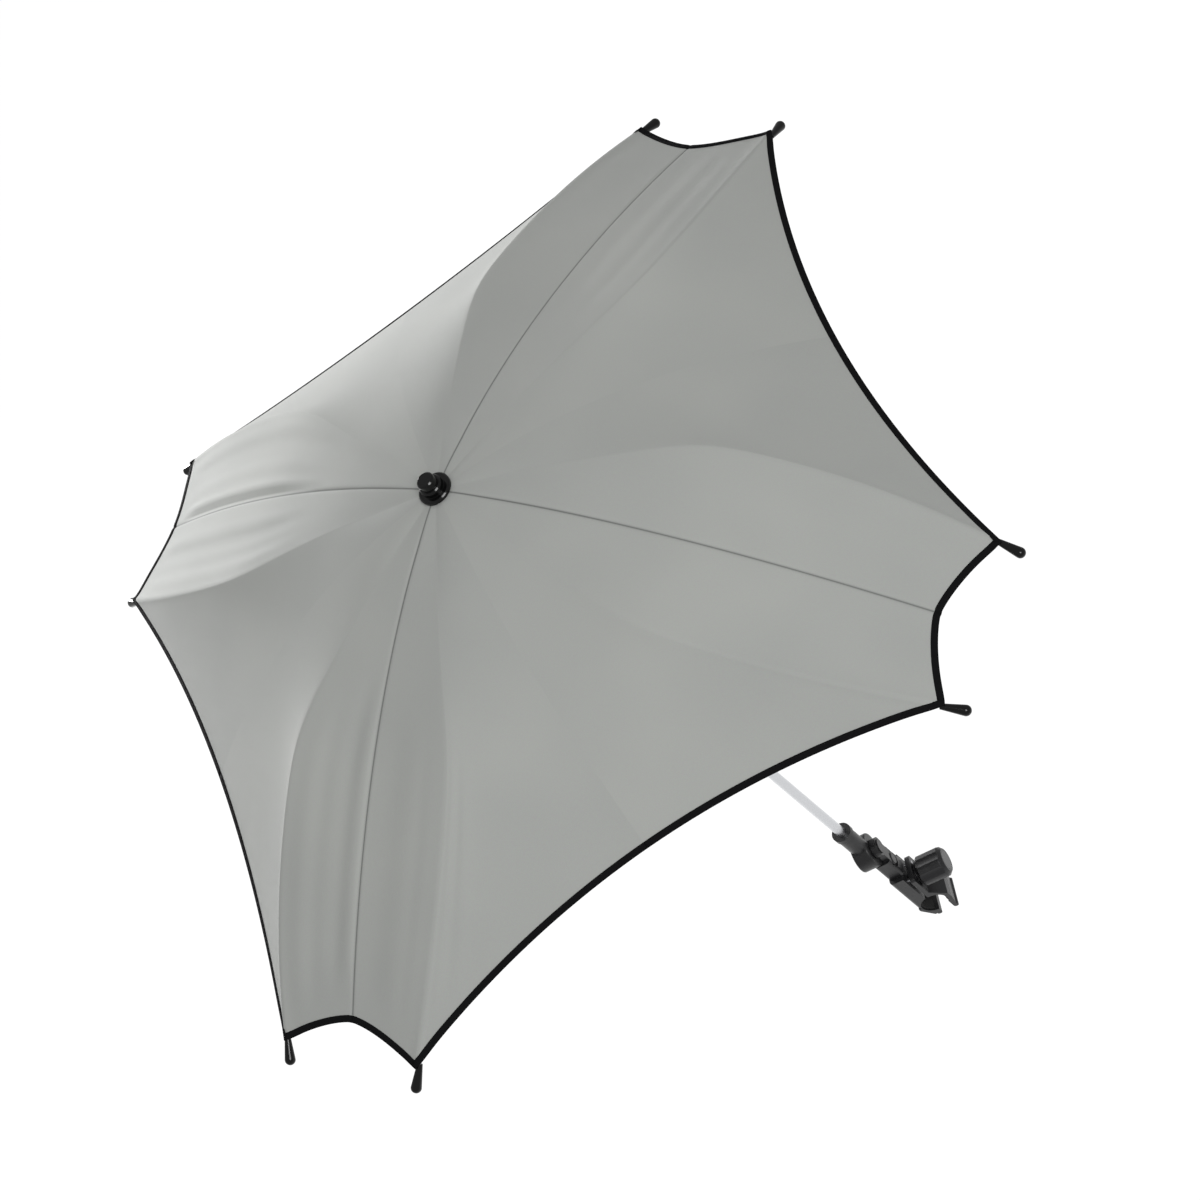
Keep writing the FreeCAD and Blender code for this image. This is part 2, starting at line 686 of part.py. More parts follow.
def disc_at(centre, axis, diameter, thickness):
    """A round plate with the centre in the middle of its thickness."""
    unit = Vector(axis).normalize()
    return Part.makeCylinder(diameter / 2, thickness, centre - unit * (thickness / 2), unit)


def block_at(centre, frame, spans):
    """A block about the centre, its sides along the frame's axes over the spans given."""
    lows = [low for low, _ in spans]
    sides = [high - low for low, high in spans]
    block = Part.makeBox(sides[0], sides[1], sides[2], Vector(*lows))
    block.Placement = Placement(centre, frame)
    return block


SIDEWAYS = Vector(0, 1, 0)


def below_notch(fall):
    """The height of a place given as a fall from the hinges of the ribs."""
    return size("notch_height") - size(fall)


def rib_line():
    """The middle line of a rib in its hinge plane, from the notch to the knuckle."""
    hub = Vector(size("hinge_radius"), 0, size("notch_height"))
    end = Vector(size("rib_end_radius"), 0, below_notch("rib_end_fall"))
    middle = (hub + end) / 2 + Vector(0, 0, size("rib_bow"))
    return Part.Arc(hub, middle, end).toShape()


def rod_line(side):
    """The middle line of a rod in its corner's frame, bent back to the corner by the stretched cloth."""
    spread = math.radians(RIB_SPREAD) * side
    reach = size("rib_end_radius")
    start = Vector(reach * math.cos(spread), reach * math.sin(spread), below_notch("rib_end_fall"))
    lift = size("cover_lift")
    end = Vector(size("corner_along"), side * size("corner_aside"), below_notch("corner_fall") - lift)
    bow = Vector(size("rod_bow_along"), side * size("rod_bow_aside"), size("rod_bow_up"))
    return Part.Arc(start, (start + end) / 2 + bow, end).toShape()


def knuckle_frame():
    """Axes at a rib's end: X out along the straightened rod, Y sideways, Z the axis the rod flexes about."""
    spread = math.radians(RIB_SPREAD)
    out = size("corner_along") * math.cos(spread) + size("corner_aside") * math.sin(spread)
    drop = below_notch("rib_end_fall") - below_notch("corner_fall") + size("cover_lift")
    slope = math.degrees(math.atan2(drop, out - size("rib_end_radius")))
    return Rotation(Vector(0, 1, 0), slope)


def rib_shape():
    """One rib in its hinge plane: eye, bowed rod, cheeks for the stretcher and knuckle for the outer rod.

    Next to the eye the rod is flattened, so that it lies in its slot of the top notch.
    """
    hub = Vector(size("hinge_radius"), 0, size("notch_height"))
    end = Vector(size("rib_end_radius"), 0, below_notch("rib_end_fall"))
    joint = Vector(number(JOINT_RADIUS), 0, number(JOINT_HEIGHT))
    width = size("knuckle_width")
    plate_inner = size("tongue_thickness") / 2 + size("face_clearance")
    plate_outer = plate_inner + size("knuckle_plate")
    length = size("knuckle_length")
    web = width / 2 + 2 * size("face_clearance")
    frame = knuckle_frame()
    axis = frame.multVec(Vector(0, 0, 1))
    cheek_inner = size("eye_thickness") / 2 + size("face_clearance")
    cheek_outer = cheek_inner + size("cheek_thickness")
    cheek_half = size("cheek_length") / 2
    whole = rib_line()
    span = whole.LastParameter - whole.FirstParameter
    stop = whole.LastParameter - (length + web) / 2 / whole.Length * span
    line = whole.Curve.toShape(whole.FirstParameter, stop)
    pieces = [
        disc_at(hub, SIDEWAYS, size("eye_diameter"), size("eye_thickness")),
        block_at(end, frame, ((-length, -web), (-width / 2, width / 2), (-plate_outer, plate_outer))),
    ]
    for low, high in ((-plate_outer, -plate_inner), (plate_inner, plate_outer)):
        pieces.append(block_at(end, frame, ((-length, 0), (-width / 2, width / 2), (low, high))))
        pieces.append(disc_at(end + axis * ((low + high) / 2), axis, width, high - low))
    pieces.append(disc_at(end, axis, size("pin_diameter"), 2 * plate_outer))
    for low, high in ((-cheek_outer, -cheek_inner), (cheek_inner, cheek_outer)):
        height = below_notch("rib_end_fall") - joint.z + size("rib_diameter")
        pieces.append(block_at(joint, Rotation(), ((-cheek_half, cheek_half), (low, high), (0, height))))
        middle = joint + SIDEWAYS * ((low + high) / 2)
        pieces.append(disc_at(middle, SIDEWAYS, size("cheek_length"), high - low))
    bridge_low = size("eye_diameter") / 2 + 3 * size("face_clearance")
    pieces.append(block_at(joint, Rotation(), ((-cheek_half, cheek_half), (-cheek_outer, cheek_outer),
                                               (bridge_low, height))))
    pieces.append(disc_at(joint, SIDEWAYS, size("pin_diameter"), 2 * cheek_outer))
    flat_end = size("hinge_radius") + size("notch_drop") + size("rib_diameter")
    flats = []
    for low, high in ((-size("rib_diameter"), -size("eye_thickness") / 2),
                      (size("eye_thickness") / 2, size("rib_diameter"))):
        spans = ((0, flat_end), (low, high), (0, 2 * size("notch_height")))
        flats.append(block_at(Vector(), Rotation(), spans))
    rib = rod_along(line, size("rib_diameter")).cut(flats).fuse(pieces)
    bore = size("pin_diameter") + 2 * size("running_clearance")
    hole = disc_at(hub, SIDEWAYS, bore, 2 * size("eye_thickness"))
    return rib.cut(hole).removeSplitter()


def stretcher_shape():
    """One stretcher in its hinge plane, with an eye at each end."""
    runner_end = Vector(size("hinge_radius"), 0, number(RUNNER_HEIGHT))
    joint = Vector(number(JOINT_RADIUS), 0, number(JOINT_HEIGHT))
    bar = rod_along(Part.LineSegment(runner_end, joint).toShape(), size("stretcher_diameter"))
    ends = (runner_end, joint)
    eyes = [disc_at(end, SIDEWAYS, size("eye_diameter"), size("eye_thickness")) for end in ends]
    slab = block_at(Vector(), Rotation(), (
        (0, 2 * number(JOINT_RADIUS)),
        (-size("eye_thickness") / 2, size("eye_thickness") / 2),
        (0, 2 * size("notch_height")),
    ))
    bore = size("pin_diameter") + 2 * size("running_clearance")
    holes = [disc_at(end, SIDEWAYS, bore, 2 * size("eye_thickness")) for end in ends]
    return bar.common(slab).fuse(eyes).cut(holes).removeSplitter()


def rod_shape(side):
    """One outer rod in its corner's frame, with the tongue that sits in the rib's knuckle."""
    line = rod_line(side)
    start = line.valueAt(line.FirstParameter)
    spread = RIB_SPREAD * side
    axis = Rotation(Vector(0, 0, 1), spread).multiply(knuckle_frame()).multVec(Vector(0, 0, 1))
    tongue = disc_at(start, axis, size("knuckle_width"), size("tongue_thickness"))
    bore = size("pin_diameter") + 2 * size("running_clearance")
    hole = disc_at(start, axis, bore, 2 * size("knuckle_width"))
    clear = size("knuckle_width") / 2 + 2 * size("face_clearance")
    pace = (line.LastParameter - line.FirstParameter) / line.Length
    shoulder = line.FirstParameter + clear * pace
    inside = shoulder + size("rod_diameter") * pace
    neck = rod_along(line.Curve.toShape(line.FirstParameter, inside), size("neck_diameter"))
    bar = rod_along(line.Curve.toShape(shoulder, line.LastParameter), size("rod_diameter"))
    return bar.fuse([neck, tongue]).cut(hole).removeSplitter()


def tip_shape(side):
    """One club-shaped tip on a rod: a cone that runs into a ball, with a bore that the rod stands in."""
    line = rod_line(side)
    end = line.valueAt(line.LastParameter)
    out = line.tangentAt(line.LastParameter)
    neck = size("tip_neck_diameter") / 2
    ball = size("tip_ball_diameter") / 2
    begin = -size("tip_neck_start")
    reach = size("tip_ball_reach")
    centre = Vector(0, 0, reach)
    rim = Vector(neck, 0, begin)
    lean = math.degrees(math.acos(ball / (rim - centre).Length))
    touch = centre + Rotation(Vector(0, -1, 0), lean).multVec((rim - centre).normalize()) * ball
    profile = Part.Wire([
        Part.LineSegment(Vector(0, 0, begin), rim).toShape(),
        Part.LineSegment(rim, touch).toShape(),
        Part.Arc(touch, Vector(ball, 0, reach), Vector(0, 0, reach + ball)).toShape(),
        Part.LineSegment(Vector(0, 0, reach + ball), Vector(0, 0, begin)).toShape(),
    ])
    tip = Part.Face(profile).revolve(Vector(), Vector(0, 0, 1), 360)
    depth = size("tip_neck_start") + size("seat_clearance")
    bore = Part.makeCylinder(size("rod_diameter") / 2 + size("seat_clearance"), depth, Vector(0, 0, begin))
    tip = tip.cut(bore)
    tip.Placement = Placement(end, Rotation(Vector(0, 0, 1), out))
    line_room = rod_along(line, size("rod_diameter") + 2 * size("seat_clearance"))
    return tip.cut(line_room)


def make_fold():
    """Every rib with its rod, tip and stretcher."""
    rib = rib_shape()
    stretcher = stretcher_shape()
    rods = {side: rod_shape(side) for side in (1, -1)}
    tips = {side: tip_shape(side) for side in (1, -1)}
    for index, (corner, side, angle) in enumerate(rib_angles(), start=1):
        for name, shape, turn in (("rib", rib, angle), ("stretcher", stretcher, angle),
                                  ("rib_rod", rods[side], corner), ("rib_tip", tips[side], corner)):
            piece = doc.addObject("Part::Feature", "%s_%d" % (name, index))
            piece.Shape = shape
            piece.Placement = on_pole(turn).multiply(shape.Placement)
            keep(piece, "%s_%d" % (name, index))


RIB_STATIONS = (0.12, 0.4, 0.7, 1)
ROD_STATIONS = (0.25, 0.5, 0.75)


def curve_point(line, share):
    span = line.LastParameter - line.FirstParameter
    return line.valueAt(line.FirstParameter + span * share)


def ridge_points():
    """Points of the cloth's ridge over a rib on the left of its corner, in the corner's frame."""
    rib = rib_line()
    rod = rod_line(1)
    spread = Rotation(Vector(0, 0, 1), RIB_SPREAD)
    points = [spread.multVec(curve_point(rib, share)) for share in RIB_STATIONS]
    points += [curve_point(rod, share) for share in ROD_STATIONS]
    return points, curve_point(rod, 1 - size("binding_width") / rod.Length), curve_point(rod, 1)


def seam_point(share):
    """A place on the seam, which runs out along the middle of a corner."""
    height = number(APEX_HEIGHT) - size("seam_hem_fall") * share ** SEAM_POWER
    return Vector(number(SEAM_REACH) * share, 0, height)


def side_point(share):
    """The middle of a long side, half way between two corners."""
    out = number(SIDE_REACH) * share
    half = math.radians(180 / CORNERS)
    height = number(APEX_HEIGHT) - size("side_hem_fall") * share ** SIDE_POWER
    return Vector(out * math.cos(half), out * math.sin(half), height)


def side_share(ridge):
    """How far out the long side's middle is met by a straight line across the cloth from the ridge."""
    half = math.radians(180 / CORNERS)
    return (ridge.x * math.cos(half) + ridge.y * math.sin(half)) / number(SIDE_REACH + " + side_scallop")


def cloth_edges(seam, ridge, middle, lift):
    """One line across a panel: seam, rib, middle of the long side, rib, seam."""
    quarter = Rotation(Vector(0, 0, 1), 360 / CORNERS)
    far_ridge = quarter.multVec(Vector(ridge.x, -ridge.y, ridge.z))
    across = [seam, ridge, middle, far_ridge, quarter.multVec(seam)]
    raised = [point + Vector(0, 0, lift) for point in across]
    return [
        Part.LineSegment(raised[0], raised[1]).toShape(),
        Part.Arc(raised[1], raised[2], raised[3]).toShape(),
        Part.LineSegment(raised[3], raised[4]).toShape(),
    ]


def cloth_solid(lines, low, high):
    """A sheet through the lines across it, closed underneath and along its four edges."""
    top = [cloth_edges(*line, high) for line in lines]
    under = [cloth_edges(*line, low) for line in lines]
    faces = []
    for layer in (top, under):
        for before, after in zip(layer, layer[1:]):
            faces += [Part.makeRuledSurface(one, other) for one, other in zip(before, after)]
    for upper, lower in ((top[0], under[0]), (top[-1], under[-1])):
        faces += [Part.makeRuledSurface(one, other) for one, other in zip(upper, lower)]
    for edge, vertex in ((0, 0), (-1, -1)):
        sides = []
        for layer in (top, under):
            ends = [line[edge].Vertexes[vertex].Point for line in layer]
            sides.append([Part.LineSegment(one, other).toShape() for one, other in zip(ends, ends[1:])])
        faces += [Part.makeRuledSurface(one, other) for one, other in zip(*sides)]
    shell = Part.makeShell(faces)
    shell.sewShape()
    solid = Part.Solid(Part.Shell(shell.Faces))
    if solid.Volume < 0:
        solid.reverse()
    return solid


def make_cover():
    """The four panels of cloth and the tape that binds their hem."""
    lift = Vector(0, 0, size("cover_lift"))
    thickness = size("cover_thickness")
    ridge, inside_tape, corner = ridge_points()
    reach = math.hypot(corner.x, corner.y)
    hole = size("cover_hole_radius")
    apex = Vector(hole, 0, number(APEX_HEIGHT))
    spread = Rotation(Vector(0, 0, 1), RIB_SPREAD)
    half = Rotation(Vector(0, 0, 1), 180 / CORNERS)
    lines = [(apex, spread.multVec(apex), half.multVec(apex))]
    for point in ridge:
        share = math.hypot(point.x, point.y) / reach
        lines.append((seam_point(share), point + lift, side_point(side_share(point))))
    tape_width = size("binding_width")
    tape_edge = (seam_point(1 - tape_width / number(SEAM_REACH)), inside_tape + lift,
                 side_point(1 - tape_width / number(SIDE_REACH)))
    hem = (seam_point(1), corner + lift, side_point(1))
    panel = cloth_solid(lines + [tape_edge], 0, thickness)
    extra = (size("binding_thickness") - thickness) / 2
    tape = cloth_solid([tape_edge, hem], -extra, thickness + extra)
    tapes = []
    for index in range(CORNERS):
        frame = on_pole(CANOPY_TURN - 360 / CORNERS * index)
        piece = doc.addObject("Part::Feature", "cover_panel_%d" % (index + 1))
        piece.Shape = panel
        piece.Placement = frame
        keep(piece, "cover_panel_%d" % (index + 1))
        length = tape.copy()
        length.Placement = frame
        tapes.append(length)
    binding = doc.addObject("Part::Feature", "hem_binding")
    binding.Shape = Part.makeCompound(tapes)
    keep(binding, "hem_binding")


make_clamp_body()
make_pads()
make_moving_jaw()
make_screw()
make_knob()
make_link()
make_button()
make_tilt_bolt()
make_socket()
make_pole()
make_hubs()
make_cap()
make_fold()
make_cover()
doc.recompute()

for thing in doc.Objects:
    if "Invalid" in thing.State or "Error" in thing.State:
        raise RuntimeError("%s did not build: %s" % (thing.Label, thing.State))
for piece in finished:
    if piece.Shape.isNull() or not piece.Shape.isValid():
        raise RuntimeError("%s has no valid shape" % piece.Label)

os.makedirs("parts", exist_ok=True)
for piece in finished:
    piece.Shape.exportStep(os.path.join("parts", piece.Label + ".step"))
    print(piece.Label, len(piece.Shape.Solids), round(piece.Shape.Volume, 1))
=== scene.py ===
import json
import math

import bpy
from mathutils import Matrix, Vector


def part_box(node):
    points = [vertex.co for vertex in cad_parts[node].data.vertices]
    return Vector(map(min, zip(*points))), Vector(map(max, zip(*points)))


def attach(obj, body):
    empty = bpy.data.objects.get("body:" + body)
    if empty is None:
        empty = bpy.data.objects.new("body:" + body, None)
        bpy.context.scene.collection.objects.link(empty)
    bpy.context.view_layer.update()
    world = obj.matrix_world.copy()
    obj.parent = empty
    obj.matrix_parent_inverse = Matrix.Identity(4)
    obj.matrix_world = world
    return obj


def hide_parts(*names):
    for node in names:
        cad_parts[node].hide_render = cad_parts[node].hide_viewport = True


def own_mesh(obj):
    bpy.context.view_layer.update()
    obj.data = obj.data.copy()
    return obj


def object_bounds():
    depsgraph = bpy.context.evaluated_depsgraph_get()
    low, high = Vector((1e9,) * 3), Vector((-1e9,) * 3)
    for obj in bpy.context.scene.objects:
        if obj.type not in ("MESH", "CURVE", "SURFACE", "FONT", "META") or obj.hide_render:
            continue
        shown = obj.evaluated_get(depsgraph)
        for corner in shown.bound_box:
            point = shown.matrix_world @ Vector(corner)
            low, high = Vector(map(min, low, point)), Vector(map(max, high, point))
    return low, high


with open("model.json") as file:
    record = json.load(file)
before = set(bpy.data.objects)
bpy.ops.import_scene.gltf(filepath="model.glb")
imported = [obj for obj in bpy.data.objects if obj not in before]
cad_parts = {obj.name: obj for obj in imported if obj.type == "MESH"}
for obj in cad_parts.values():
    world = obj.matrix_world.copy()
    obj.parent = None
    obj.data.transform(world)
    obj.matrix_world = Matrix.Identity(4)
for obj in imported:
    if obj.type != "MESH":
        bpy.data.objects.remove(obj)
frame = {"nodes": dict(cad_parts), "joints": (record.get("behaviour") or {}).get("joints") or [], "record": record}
cad_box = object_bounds()
MM = 0.001

# The canopy's places come from the frame: the pole's axis, the ribs' hinges and the first rib's knuckle
JOINTS = {joint["name"]: joint for joint in frame["joints"]}
RIBS = 8
CORNERS = 4


def rib_joint(index):
    """The joint that a rib folds on."""
    return JOINTS["canopy_fold" if index == 1 else "rib_fold_%d" % index]


def hinge_angle(index):
    """The direction of a rib's hinge plane round the pole."""
    across = rib_joint(index)["axis"]
    return math.atan2(-across[0], across[1])


pole_low, pole_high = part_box("pole")
POLE_X = (pole_low[0] + pole_high[0]) / 2
POLE_Y = (pole_low[1] + pole_high[1]) / 2
RIB_SPREAD = (hinge_angle(1) - hinge_angle(2)) / 2
HINGE_RADIUS = math.hypot(rib_joint(1)["pos_m"][0] - POLE_X, rib_joint(1)["pos_m"][1] - POLE_Y)
HINGE_HEIGHT = rib_joint(1)["pos_m"][2]
KNUCKLE = JOINTS["rod_flex_1"]["pos_m"]
KNUCKLE_RADIUS = math.hypot(KNUCKLE[0] - POLE_X, KNUCKLE[1] - POLE_Y)
KNUCKLE_HEIGHT = KNUCKLE[2]

# The rib and rod on the left of a corner, in the corner's frame: along the corner, aside, up
RIB_BOW = 6.25 * MM
ROD_MIDDLE = Vector((274, 70, 633.5)) * MM
CORNER = Vector((365, 59, 588)) * MM

# The ridge of the cloth over them
COVER_LIFT = 4.2 * MM
COVER_THICKNESS = 0.45 * MM
KNUCKLE_LIFT = 1.6 * MM
KNUCKLE_SPAN = 0.09
RIDGE_PIECES = 180
RIDGE_EASING = 160
HOLE_RADIUS = 5.6 * MM
APEX = 713.6 * MM
APEX_SHARE = 0.12

# The lines where the cloth is lowest, a corner's seam and a long side's middle, and the strip up to the rib
SEAM_REACH = 345 * MM
SEAM_HEM_HEIGHT = 597.3 * MM
SEAM_POWER = 1.7
STRIP_BOW_POWER = 1.5
STRIP_SLOPE = 0.55
STRIP_CURVE = 0.45
SIDE_REACH = 272 * MM
SIDE_HEM_HEIGHT = 606 * MM
SIDE_POWER = 2.1


def smooth(low, high, value):
    """A soft step from 0 at low to 1 at high."""
    share = min(max((value - low) / (high - low), 0.0), 1.0)
    return share * share * (3 - 2 * share)


def arc_through(start, middle, end):
    """A circular arc through three points, as a function of the share of its angle, and its length."""
    first = middle - start
    second = end - start
    normal = first.cross(second)
    centre = start + (normal.cross(first) * second.length_squared
                      + second.cross(normal) * first.length_squared) / (2 * normal.length_squared)
    across = start - centre
    forward = normal.normalized().cross(across)
    reach = end - centre
    whole = math.atan2(reach.dot(forward), reach.dot(across)) % (2 * math.pi)

    def point(share):
        return centre + across * math.cos(whole * share) + forward * math.sin(whole * share)

    return point, across.length * whole


def turned(point, angle):
    """The point, turned round the pole."""
    return Matrix.Rotation(angle, 3, "Z") @ point


rib_start = Vector((HINGE_RADIUS, 0, HINGE_HEIGHT))
rib_end = Vector((KNUCKLE_RADIUS, 0, KNUCKLE_HEIGHT))
rib_middle = (rib_start + rib_end) / 2 + Vector((0, 0, RIB_BOW))
rib_arc, rib_length = arc_through(rib_start, rib_middle, rib_end)
rod_end = CORNER - Vector((0, 0, COVER_LIFT))
rod_arc, rod_length = arc_through(turned(rib_end, RIB_SPREAD), ROD_MIDDLE, rod_end)
RIB_SHARE = rib_length / (rib_length + rod_length)


def over_rib(share):
    """A place just over the rib and its rod, from the cap at 0 to the corner at 1."""
    past = (share - RIB_SHARE) / KNUCKLE_SPAN
    lift = Vector((0, 0, COVER_LIFT + KNUCKLE_LIFT * math.exp(-past * past)))
    if share >= RIB_SHARE:
        return rod_arc((share - RIB_SHARE) / (1 - RIB_SHARE)) + lift
    along = share / RIB_SHARE
    if along >= APEX_SHARE:
        return turned(rib_arc(along), RIB_SPREAD) + lift
    near = turned(Vector((HOLE_RADIUS, 0, APEX)), RIB_SPREAD)
    far = turned(rib_arc(APEX_SHARE), RIB_SPREAD) + lift
    return near.lerp(far, along / APEX_SHARE)


def eased_line(points, rounds):
    """The line with its bends eased, and its two ends where they were."""
    for _ in range(rounds):
        inner = [(points[i - 1] + points[i] * 2 + points[i + 1]) / 4 for i in range(1, len(points) - 1)]
        points = [points[0]] + inner + [points[-1]]
    return points


RIDGE = eased_line([over_rib(step / RIDGE_PIECES) for step in range(RIDGE_PIECES + 1)], RIDGE_EASING)
CORNER_REACH = math.hypot(CORNER.x, CORNER.y)
SIDE_CHORD = (CORNER.x + CORNER.y) / 2


def ridge_point(share):
    """A point of the cloth's ridge, which bends more gently than the rib and rod under it."""
    place = share * RIDGE_PIECES
    before = min(int(place), RIDGE_PIECES - 1)
    return RIDGE[before].lerp(RIDGE[before + 1], place - before)


def fall(reach, hem_height, power, share, angle):
    """A point of a line of the cloth that falls from the cap to the hem in one direction."""
    out = HOLE_RADIUS + (reach - HOLE_RADIUS) * share
    height = APEX - (APEX - hem_height) * (out / reach) ** power
    return Vector((out * math.cos(angle), out * math.sin(angle), height))


def seam_share(ridge):
    """How far out the seam is met by a line across the cloth through a place on the ridge."""
    return (math.hypot(ridge.x, ridge.y) - HOLE_RADIUS) / (CORNER_REACH - HOLE_RADIUS)


def side_share(ridge):
    """How far out the middle of the long side is met by that line."""
    return ((ridge.x + ridge.y) / 2 / SIDE_CHORD * SIDE_REACH - HOLE_RADIUS) / (SIDE_REACH - HOLE_RADIUS)


def cloth_point(share, side):
    """A point of a rib's half panel. Side is -1 at the seam, 0 over the rib, 1 at the long side's middle."""
    ridge = ridge_point(share)
    if side < 0:
        seam = fall(SEAM_REACH, SEAM_HEM_HEIGHT, SEAM_POWER, seam_share(ridge), 0.0)
        away = 1 + side
        bow = away ** STRIP_BOW_POWER
        sag = STRIP_SLOPE * away + STRIP_CURVE * away * away
        return Vector((seam.x + (ridge.x - seam.x) * bow, ridge.y * away, seam.z + (ridge.z - seam.z) * sag))
    middle = fall(SIDE_REACH, SIDE_HEM_HEIGHT, SIDE_POWER, side_share(ridge), math.pi / CORNERS)
    other = over_side(ridge)
    chord = ridge.lerp(other, side / 2)
    bulge = middle - (ridge + other) / 2
    return chord + bulge * (1 - (1 - side) ** 2)


def over_seam(point):
    """The point's mirror image in its corner's middle plane."""
    return Vector((point.x, -point.y, point.z))


def over_side(point):
    """The point's mirror image in the middle plane of the long side."""
    return Vector((point.y, point.x, point.z))


# Soft folds in the cloth, each a crest beside a trough that are 0.7 of its amount high and deep: corner,
# side of the corner, place across, width, amount in mm, and where it begins and ends from cap to hem
FOLDS = (
    (1, -1, -0.30, 0.10, 0.5, 0.35, 0.95),
    (1, -1, -0.62, 0.16, 0.5, 0.35, 1.0),
    (2, 1, -0.50, 0.20, 0.5, 0.4, 1.0),
    (3, 1, -0.58, 0.26, 1.2, 0.35, 1.0),
    (3, 1, -0.25, 0.10, 0.5, 0.4, 1.0),
    (3, 1, 0.05, 0.05, 0.9, 0.4, 1.0),
    (3, 1, 0.16, 0.06, 0.9, 0.45, 1.0),
    (3, -1, -0.82, 0.15, -2.0, 0.3, 0.97),
    (3, -1, -0.35, 0.14, 1.2, 0.35, 1.0),
    (4, 1, -0.62, 0.12, -1.2, 0.3, 1.0),
    (4, 1, -0.25, 0.10, 0.8, 0.3, 1.0),
    (4, -1, -0.92, 0.09, 3.0, 0.3, 0.97),
    (4, -1, -0.55, 0.12, -0.6, 0.3, 1.0),
    (4, -1, -0.25, 0.12, 0.9, 0.3, 1.0),
)
FOLD_RISE = 0.2
FOLD_FADE = 0.12
FOLD_CREST = 0.5
SEAM_EASE = 0.06


def fold_depth(corner, hand, share, side):
    """How far the folds lift the cloth at a place. Next to a seam they run out, so its two sides meet."""
    depth = 0.0
    for at_corner, at_hand, place, width, amount, begin, end in FOLDS:
        if (at_corner, at_hand) != (corner, hand):
            continue
        along = smooth(begin, begin + FOLD_RISE, share) * (1 - smooth(end - FOLD_FADE, end, share))
        offset = (side - place) / width
        depth += amount * MM * along * offset * math.exp(FOLD_CREST - offset * offset)
    return depth * smooth(-1.0, SEAM_EASE - 1.0, side)


# The grid of a half panel: fine steps next to the seam, then even ones to the rib and on to the long side
SEAM_STEPS = (0, 0.01, 0.02, 0.035, 0.06)
STRIP_STEPS = 22
SIDE_STEPS = 48
ALONG_STEPS = 90
STRIP_START = SEAM_STEPS[-1] - 1
STRIP_WIDTH = 1 - SEAM_STEPS[-1]
ACROSS = [step - 1 for step in SEAM_STEPS]
ACROSS += [STRIP_START + STRIP_WIDTH * (step + 1) / STRIP_STEPS for step in range(STRIP_STEPS)]
RIDGE_PLACE = len(ACROSS) - 1
ACROSS += [(step + 1) / SIDE_STEPS for step in range(SIDE_STEPS)]

# The rounding of the crease over a rib, and the groove along a seam, which starts a little way from the cap
RIDGE_ROUNDS = 14
RIDGE_REACH = 16 * MM
SEAM_GROOVE = 0.8 * MM
SEAM_GROOVE_WIDTH = 1.3 * MM
GROOVE_START = 0.02
GROOVE_FULL = 0.1


def rounded_ridge(row):
    """The row with its crease over the rib rounded, and no lower over the rib than before."""
    top = row[RIDGE_PLACE]
    heights = [point.z for point in row]
    for _ in range(RIDGE_ROUNDS):
        wide = [heights[1]] + heights + [heights[-2]]
        heights = [(wide[i - 1] + 2 * wide[i] + wide[i + 1]) / 4 for i in range(1, len(wide) - 1)]
    drop = top.z - heights[RIDGE_PLACE]
    eased = []
    for point, height in zip(row, heights):
        gap = (point - top).length / RIDGE_REACH
        near = math.exp(-gap * gap)
        eased.append(Vector((point.x, point.y, point.z + (height - point.z + drop) * near)))
    return eased


def half_panel_grid(corner, hand):
    """The half panel's points, row by row from cap to hem, in its corner's frame."""
    rows = []
    for step in range(ALONG_STEPS + 1):
        share = step / ALONG_STEPS
        row = rounded_ridge([cloth_point(share, side) for side in ACROSS])
        for place, side in enumerate(ACROSS):
            seam_gap = row[place].y / SEAM_GROOVE_WIDTH
            groove = SEAM_GROOVE * math.exp(-seam_gap * seam_gap) * smooth(GROOVE_START, GROOVE_FULL, share)
            row[place] = row[place] + Vector((0, 0, fold_depth(corner, hand, share, side) - groove))
        rows.append(row)
    return rows


def grid_normals(rows):
    """The cloth's upward normal at each point, the same on both sides of a seam or a long side's middle."""
    normals = []
    for index, row in enumerate(rows):
        above = rows[max(index - 1, 0)]
        below = rows[min(index + 1, len(rows) - 1)]
        wide = [over_seam(row[1])] + row + [over_side(row[-2])]
        line = []
        for place in range(len(row)):
            outward = below[place] - above[place]
            across = wide[place + 2] - wide[place]
            line.append(outward.cross(across).normalized())
        line[0] = Vector((line[0].x, 0, line[0].z)).normalized()
        even = (line[-1].x + line[-1].y) / 2
        line[-1] = Vector((even, even, line[-1].z)).normalized()
        normals.append(line)
    return normals


def corner_frame(corner):
    """Takes a point from a corner's frame to the shared frame."""
    angle = hinge_angle(2 * corner - 1) - RIB_SPREAD
    return Matrix.Translation((POLE_X, POLE_Y, 0)) @ Matrix.Rotation(angle, 4, "Z")


def handed(point, hand):
    """The point as it is on the left of a corner, where hand is 1, or its mirror image on the right."""
    return Vector((point.x, hand * point.y, point.z))


def new_object(name, vertices, faces, look, smooth_faces=True):
    mesh = bpy.data.meshes.new(name)
    mesh.from_pydata([tuple(vertex) for vertex in vertices], [], faces)
    mesh.update()
    if smooth_faces:
        mesh.polygons.foreach_set("use_smooth", [True] * len(mesh.polygons))
    mesh.materials.append(look)
    piece = bpy.data.objects.new(name, mesh)
    bpy.context.scene.collection.objects.link(piece)
    return piece


# Materials

# Places of the sockets of a Mix node that mixes colours
MIX_SHARE = 0
MIX_FIRST = 6
MIX_SECOND = 7
MIX_RESULT = 2

